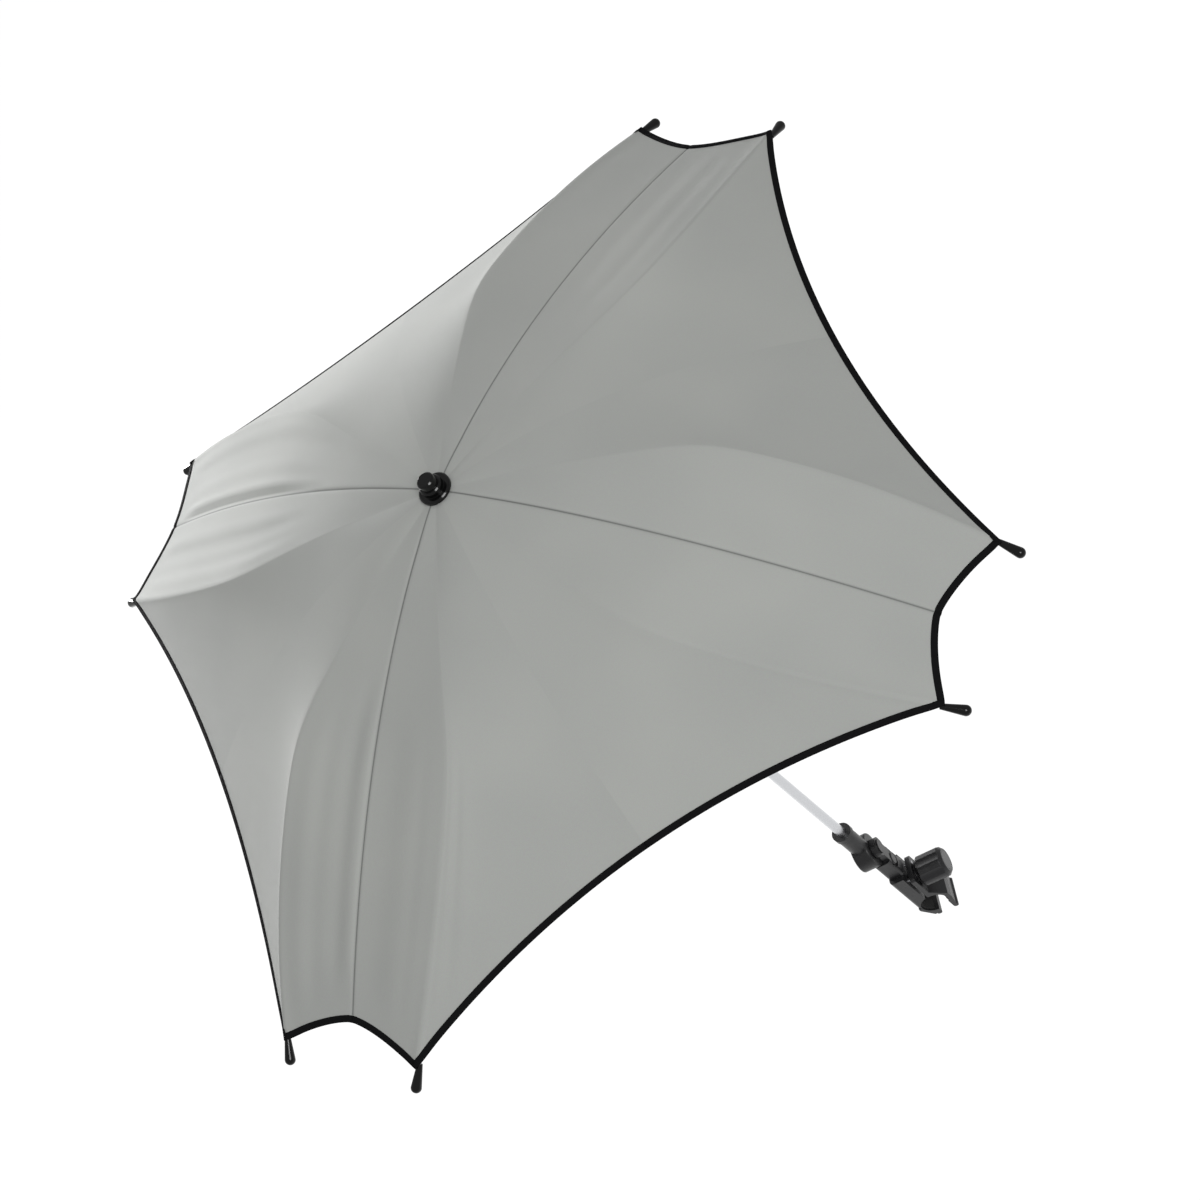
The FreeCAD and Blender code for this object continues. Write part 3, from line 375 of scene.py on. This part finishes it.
CLOTH_DARK = (0.375, 0.385, 0.37, 1)
CLOTH_PALE = (0.41, 0.42, 0.40, 1)
STITCH_COLOUR = (0.13, 0.135, 0.13, 1)
THREAD_SCALE = 900.0
THREAD_WAVER = 0.6
SLUB_SHARE = 0.16
BINDING_DARK = (0.003, 0.003, 0.003, 1)
BINDING_PALE = (0.010, 0.010, 0.011, 1)
EDGE_RADIUS = 0.6 * MM

# How far the roughness goes below and above its usual value
PLASTIC_SMOOTHER = 0.05
PLASTIC_ROUGHER = 0.07
METAL_CHANGE = 0.08


def material(name):
    made = bpy.data.materials.new(name)
    made.use_nodes = True
    nodes = made.node_tree.nodes
    return made, nodes, made.node_tree.links, nodes["Principled BSDF"]


def add(nodes, kind, **values):
    """A new node with each value set on its socket of that name, or else on the node."""
    node = nodes.new(kind)
    for key, value in values.items():
        if key in node.inputs:
            node.inputs[key].default_value = value
        else:
            setattr(node, key, value)
    return node


def add_bump(nodes, links, shader, height, strength, distance):
    bump = add(nodes, "ShaderNodeBump", Strength=strength, Distance=distance)
    links.new(height, bump.inputs["Height"])
    links.new(bump.outputs["Normal"], shader.inputs["Normal"])
    return bump


def vary_roughness(nodes, links, shader, texture, least, most):
    gloss = add(nodes, "ShaderNodeMapRange")
    gloss.inputs["To Min"].default_value = least
    gloss.inputs["To Max"].default_value = most
    links.new(texture.outputs["Fac"], gloss.inputs["Value"])
    links.new(gloss.outputs["Result"], shader.inputs["Roughness"])


def cloth_material():
    """Woven cloth with soft clouds of tone, and a dark line where the seam attribute is 1."""
    made, nodes, links, shader = material("cover_cloth")
    uv = add(nodes, "ShaderNodeUVMap", uv_map="cloth")
    seam = add(nodes, "ShaderNodeAttribute", attribute_name="seam")
    warp = add(nodes, "ShaderNodeTexWave", bands_direction="X", Scale=THREAD_SCALE, Distortion=THREAD_WAVER)
    weft = add(nodes, "ShaderNodeTexWave", bands_direction="Y", Scale=THREAD_SCALE, Distortion=THREAD_WAVER)
    slub = add(nodes, "ShaderNodeTexNoise", Scale=1400.0, Detail=3.0)
    cloud = add(nodes, "ShaderNodeTexNoise", Scale=7.0, Detail=2.0)
    for texture in (warp, weft, slub, cloud):
        links.new(uv.outputs["UV"], texture.inputs["Vector"])
    weave = add(nodes, "ShaderNodeMath", operation="MULTIPLY")
    links.new(warp.outputs["Fac"], weave.inputs[0])
    links.new(weft.outputs["Fac"], weave.inputs[1])
    rough = add(nodes, "ShaderNodeMath", operation="ADD")
    links.new(weave.outputs["Value"], rough.inputs[0])
    links.new(slub.outputs["Fac"], rough.inputs[1])
    tone = add(nodes, "ShaderNodeValToRGB")
    dark, pale = tone.color_ramp.elements
    dark.position = 0.3
    dark.color = CLOTH_DARK
    pale.position = 0.7
    pale.color = CLOTH_PALE
    links.new(cloud.outputs["Fac"], tone.inputs["Fac"])
    threads = add(nodes, "ShaderNodeMix", data_type="RGBA", blend_type="MULTIPLY")
    threads.inputs[MIX_SHARE].default_value = SLUB_SHARE
    links.new(tone.outputs["Color"], threads.inputs[MIX_FIRST])
    links.new(slub.outputs["Color"], threads.inputs[MIX_SECOND])
    stitched = add(nodes, "ShaderNodeMix", data_type="RGBA")
    links.new(seam.outputs["Fac"], stitched.inputs[MIX_SHARE])
    links.new(threads.outputs[MIX_RESULT], stitched.inputs[MIX_FIRST])
    stitched.inputs[MIX_SECOND].default_value = STITCH_COLOUR
    links.new(stitched.outputs[MIX_RESULT], shader.inputs["Base Color"])
    add_bump(nodes, links, shader, rough.outputs["Value"], strength=0.25, distance=0.3 * MM)
    shader.inputs["Roughness"].default_value = 0.82
    shader.inputs["Sheen Weight"].default_value = 0.15
    shader.inputs["Sheen Roughness"].default_value = 0.5
    shader.inputs["Specular IOR Level"].default_value = 0.25
    return made


def binding_material():
    """Black tape with fine ribs across it."""
    made, nodes, links, shader = material("binding_tape")
    uv = add(nodes, "ShaderNodeUVMap", uv_map="cloth")
    ribbing = add(nodes, "ShaderNodeTexWave", bands_direction="X", Scale=400.0, Distortion=0.4)
    fuzz = add(nodes, "ShaderNodeTexNoise", Scale=900.0, Detail=3.0)
    links.new(uv.outputs["UV"], ribbing.inputs["Vector"])
    links.new(uv.outputs["UV"], fuzz.inputs["Vector"])
    tone = add(nodes, "ShaderNodeValToRGB")
    dark, pale = tone.color_ramp.elements
    dark.color = BINDING_DARK
    pale.color = BINDING_PALE
    links.new(fuzz.outputs["Fac"], tone.inputs["Fac"])
    links.new(tone.outputs["Color"], shader.inputs["Base Color"])
    add_bump(nodes, links, shader, ribbing.outputs["Fac"], strength=0.4, distance=0.3 * MM)
    shader.inputs["Roughness"].default_value = 0.85
    shader.inputs["Specular IOR Level"].default_value = 0.04
    return made


def plastic_material(name, colour, roughness, shine, grain, speckle):
    """Moulded plastic with a fine grain in its surface and a slight change of gloss."""
    made, nodes, links, shader = material(name)
    place = add(nodes, "ShaderNodeTexCoord")
    fine = add(nodes, "ShaderNodeTexNoise", Scale=grain, Detail=3.0)
    broad = add(nodes, "ShaderNodeTexNoise", Scale=60.0, Detail=2.0)
    links.new(place.outputs["Object"], fine.inputs["Vector"])
    links.new(place.outputs["Object"], broad.inputs["Vector"])
    vary_roughness(nodes, links, shader, broad, roughness - PLASTIC_SMOOTHER, roughness + PLASTIC_ROUGHER)
    bump = add_bump(nodes, links, shader, fine.outputs["Fac"], strength=speckle, distance=0.2 * MM)
    soft_edge = add(nodes, "ShaderNodeBevel", Radius=EDGE_RADIUS)
    links.new(soft_edge.outputs["Normal"], bump.inputs["Normal"])
    shader.inputs["Base Color"].default_value = colour
    shader.inputs["Specular IOR Level"].default_value = shine
    return made


def metal_material(name, colour, roughness, stretch):
    """Drawn metal. Its streaks run along the axis where the stretch is smallest."""
    made, nodes, links, shader = material(name)
    place = add(nodes, "ShaderNodeTexCoord")
    lines = add(nodes, "ShaderNodeMapping", Scale=stretch)
    streak = add(nodes, "ShaderNodeTexNoise", Scale=300.0, Detail=3.0)
    links.new(place.outputs["Object"], lines.inputs["Vector"])
    links.new(lines.outputs["Vector"], streak.inputs["Vector"])
    vary_roughness(nodes, links, shader, streak, roughness - METAL_CHANGE, roughness + METAL_CHANGE)
    add_bump(nodes, links, shader, streak.outputs["Fac"], strength=0.08, distance=0.1 * MM)
    shader.inputs["Base Color"].default_value = colour
    shader.inputs["Metallic"].default_value = 1.0
    return made


CLOTH = cloth_material()
BINDING = binding_material()
SLOT_MATERIALS = {
    "cover_cloth": CLOTH,
    "binding_tape": BINDING,
    "black_plastic": plastic_material("black_plastic", (0.010, 0.010, 0.011, 1), roughness=0.36, shine=0.5,
                                      grain=900.0, speckle=0.25),
    "gloss_black": plastic_material("gloss_black", (0.003, 0.003, 0.003, 1), roughness=0.12, shine=0.3,
                                    grain=300.0, speckle=0.04),
    "pad_rubber": plastic_material("pad_rubber", (0.02, 0.02, 0.02, 1), roughness=0.8, shine=0.3,
                                   grain=1200.0, speckle=0.4),
    "pole_metal": metal_material("pole_metal", (0.74, 0.75, 0.77, 1), roughness=0.34,
                                 stretch=(40.0, 40.0, 0.6)),
    "rib_steel": metal_material("rib_steel", (0.55, 0.56, 0.58, 1), roughness=0.32,
                                stretch=(8.0, 8.0, 2.0)),
    "fastener_steel": metal_material("fastener_steel", (0.50, 0.50, 0.52, 1), roughness=0.3,
                                     stretch=(8.0, 8.0, 8.0)),
}

for subpart in frame["record"]["subparts"]:
    node = frame["nodes"][subpart["node"]]
    node.data.materials.clear()
    node.data.materials.append(SLOT_MATERIALS[subpart["material_slot"]])


# The cover and its binding

SEAM_LINE = 0.6 * MM
BINDING_WIDTH = 4.6 * MM
BINDING_THICKNESS = 1.5 * MM
BINDING_OVERHANG = 0.4 * MM
UNDERSIDE_SHIFT = 0.01

# The tape's section round the hem: place across its width, and height over the cloth's middle
BINDING_UPPER = [(0.0, 0.35), (0.12, 0.5), (0.5, 0.56), (0.8, 0.5), (0.88, 0.38), (1.0, 0.34), (1.06, 0.2)]
BINDING_LOWER = [(width, -height) for width, height in reversed(BINDING_UPPER)]
BINDING_PROFILE = BINDING_LOWER[-1:] + BINDING_UPPER + BINDING_LOWER[:-1]


def name_uv(piece, places):
    """Gives the piece its flat map, from one place for each vertex."""
    layer = piece.data.uv_layers.new(name="cloth")
    for loop in piece.data.loops:
        layer.data[loop.index].uv = places[loop.vertex_index]


def shell_faces(rows, across):
    """Faces of a closed shell between two grids of points, with the upper grid's points first."""
    lower = rows * across
    faces = []
    for row in range(rows - 1):
        for place in range(across - 1):
            first = row * across + place
            quad = (first, first + across, first + across + 1, first + 1)
            faces.append(quad)
            faces.append(tuple(lower + corner for corner in reversed(quad)))
    edge = list(range(across))
    edge += [row * across + across - 1 for row in range(1, rows)]
    edge += [(rows - 1) * across + place for place in range(across - 2, -1, -1)]
    edge += [row * across for row in range(rows - 2, 0, -1)]
    for place, corner in enumerate(edge):
        following = edge[(place + 1) % len(edge)]
        faces.append((corner, following, lower + following, lower + corner))
    return faces


def set_normals(piece, up):
    """Gives the upper and lower faces the cloth's own normals, and leaves the rim flat."""
    count = len(up)
    loop_normals = []
    for face in piece.data.polygons:
        on_rim = min(face.vertices) < count <= max(face.vertices)
        for vertex in face.vertices:
            if on_rim:
                loop_normals.append(face.normal)
            else:
                loop_normals.append(up[vertex] if vertex < count else -up[vertex - count])
    piece.data.normals_split_custom_set([tuple(normal) for normal in loop_normals])


def make_half_panel(rib):
    """The cloth from the seam over one rib to the middle of the long side, as a thin closed shell."""
    corner = (rib + 1) // 2
    hand = 1 if rib % 2 else -1
    grid = half_panel_grid(corner, hand)
    normals = grid_normals(grid)
    to_frame = corner_frame(corner)
    turn = to_frame.to_3x3()
    upper = []
    up = []
    places = []
    stitching = []
    for row, line in zip(grid, normals):
        for point, normal in zip(row, line):
            upper.append(to_frame @ handed(point, hand))
            up.append(turn @ handed(normal, hand))
            places.append((point.x, hand * point.y))
            stitching.append(math.exp(-(point.y / SEAM_LINE) ** 2))
    lower = [point - normal * COVER_THICKNESS for point, normal in zip(upper, up)]
    faces = shell_faces(len(grid), len(ACROSS))
    if hand < 0:
        faces = [face[::-1] for face in faces]
    piece = new_object("cover_half_%d" % rib, upper + lower, faces, CLOTH)
    name_uv(piece, places + places)
    attribute = piece.data.attributes.new("seam", "FLOAT", "POINT")
    attribute.data.foreach_set("value", stitching + stitching)
    set_normals(piece, up)
    area = sum(face.area for face in piece.data.polygons) / 2
    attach(piece, "rib_%d" % rib)
    return piece, grid[-1], grid[-2], hand, to_frame, area


def make_binding(rib, hem, before, hand, to_frame):
    """The folded tape round the hem of one half panel. Before is the row of the cloth next to the hem."""
    vertices = []
    places = []
    run = 0.0
    count = len(BINDING_PROFILE)
    for place, edge in enumerate(hem):
        ahead = hem[min(place + 1, len(hem) - 1)] - hem[max(place - 1, 0)]
        along = ahead.normalized()
        inward = before[place] - edge
        inward = (inward - along * inward.dot(along)).normalized()
        normal = along.cross(inward).normalized()
        if place:
            run += (edge - hem[place - 1]).length
        for width, height in BINDING_PROFILE:
            out = width * BINDING_WIDTH
            point = edge + inward * (out - BINDING_OVERHANG) + normal * (height * BINDING_THICKNESS)
            vertices.append(to_frame @ handed(point, hand))
            places.append((run, out + UNDERSIDE_SHIFT * (height < 0)))
    faces = []
    for place in range(len(hem) - 1):
        for turn in range(count):
            one = place * count + turn
            two = place * count + (turn + 1) % count
            quad = (one, one + count, two + count, two)
            faces.append(quad if hand < 0 else quad[::-1])
    ends = [list(range(count)), list(range(len(vertices) - count, len(vertices)))]
    faces.append(ends[0] if hand < 0 else ends[0][::-1])
    faces.append(ends[1][::-1] if hand < 0 else ends[1])
    piece = new_object("hem_binding_%d" % rib, vertices, faces, BINDING)
    name_uv(piece, places)
    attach(piece, "rib_%d" % rib)
    return piece


def squash_with_fold(piece):
    """Gives the piece a mesh of its own."""
    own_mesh(piece)


def panel_of(rib):
    """The CAD panel of a half panel. It runs from a corner's left rib to the next corner's right rib."""
    corner = (rib + 1) // 2
    return corner if rib % 2 else corner % CORNERS + 1


for rib in range(1, RIBS + 1):
    half, hem, before, hand, to_frame, area = make_half_panel(rib)
    binding = make_binding(rib, hem, before, hand, to_frame)
    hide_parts("cover_panel_%d" % panel_of(rib))
    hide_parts("hem_binding")
    squash_with_fold(half)
    squash_with_fold(binding)


# Floor, lights and camera

FLOOR_DROP = 0.9
FLOOR_SIZE = 30.0
FLOOR_COLOUR = (0.9, 0.9, 0.9, 1)
FLOOR_ROUGHNESS = 0.9
FLOOR_GLOW = 1.05
FLOOR_GLOW_SHARE = 0.92
WORLD_COLOUR = (1, 1, 1, 1)
WORLD_LIGHT = 0.45
WORLD_SEEN = 1.0

CANOPY_MIDDLE = Vector((POLE_X, POLE_Y, 0.65))
KEY_PLACE = CANOPY_MIDDLE + Vector((-1.61, 2.03, -0.22))
KEY_POWER = 82.0
KEY_WIDTH = 0.8
FRONT_PLACE = CANOPY_MIDDLE + Vector((1.6, -2.0, 2.6))
FRONT_POWER = 78.0
FRONT_WIDTH = 1.6

CAMERA_PLACE = Vector((0.9357, -1.6427, 2.5595))
CAMERA_AIM = Vector((0.0795, -0.1324, 0.6917))
CAMERA_ROLL = math.radians(-49.45)
CAMERA_LENS = 116.7
SENSOR_WIDTH = 36.0
CAMERA_CLIP = 100.0


def make_floor():
    """A pale floor that glows where the camera sees it, and is plain for everything else."""
    low = cad_box[0][2] - FLOOR_DROP
    made, nodes, links, shader = material("pale_floor")
    shader.inputs["Base Color"].default_value = FLOOR_COLOUR
    shader.inputs["Roughness"].default_value = FLOOR_ROUGHNESS
    glow = add(nodes, "ShaderNodeEmission", Strength=FLOOR_GLOW)
    path = add(nodes, "ShaderNodeLightPath")
    share = add(nodes, "ShaderNodeMath", operation="MULTIPLY")
    links.new(path.outputs["Is Camera Ray"], share.inputs[0])
    share.inputs[1].default_value = FLOOR_GLOW_SHARE
    mix = add(nodes, "ShaderNodeMixShader")
    links.new(share.outputs["Value"], mix.inputs["Fac"])
    links.new(shader.outputs["BSDF"], mix.inputs[1])
    links.new(glow.outputs["Emission"], mix.inputs[2])
    links.new(mix.outputs["Shader"], nodes["Material Output"].inputs["Surface"])
    half = FLOOR_SIZE / 2
    corners = [(-half, -half, low), (half, -half, low), (half, half, low), (-half, half, low)]
    new_object("floor", corners, [(0, 1, 2, 3)], made, smooth_faces=False)


def make_world():
    """A white world that is brighter to the camera than as a light."""
    world = bpy.data.worlds.new("studio")
    bpy.context.scene.world = world
    world.use_nodes = True
    nodes = world.node_tree.nodes
    links = world.node_tree.links
    background = nodes["Background"]
    background.inputs["Color"].default_value = WORLD_COLOUR
    path = add(nodes, "ShaderNodeLightPath")
    strength = add(nodes, "ShaderNodeMapRange")
    strength.inputs["To Min"].default_value = WORLD_LIGHT
    strength.inputs["To Max"].default_value = WORLD_SEEN
    links.new(path.outputs["Is Camera Ray"], strength.inputs["Value"])
    links.new(strength.outputs["Result"], background.inputs["Strength"])


def area_light(name, place, power, width):
    """A round soft light that faces the canopy's middle."""
    lamp = bpy.data.lights.new(name, "AREA")
    lamp.energy = power
    lamp.size = width
    lamp.shape = "DISK"
    rig = bpy.data.objects.new(name, lamp)
    bpy.context.scene.collection.objects.link(rig)
    rig.location = place
    rig.rotation_euler = (CANOPY_MIDDLE - place).to_track_quat("-Z", "Y").to_euler()


def make_camera():
    camera = bpy.data.cameras.new("camera")
    camera.lens = CAMERA_LENS
    camera.sensor_width = SENSOR_WIDTH
    camera.clip_end = CAMERA_CLIP
    rig = bpy.data.objects.new("camera", camera)
    bpy.context.scene.collection.objects.link(rig)
    aim = (CAMERA_AIM - CAMERA_PLACE).to_track_quat("-Z", "Y").to_matrix()
    rolled = aim @ Matrix.Rotation(CAMERA_ROLL, 3, "Z")
    rig.matrix_world = Matrix.Translation(CAMERA_PLACE) @ rolled.to_4x4()
    bpy.context.scene.camera = rig


make_floor()
make_world()
area_light("key", KEY_PLACE, KEY_POWER, KEY_WIDTH)
area_light("front", FRONT_PLACE, FRONT_POWER, FRONT_WIDTH)
make_camera()
bpy.context.scene.view_settings.view_transform = "Standard"
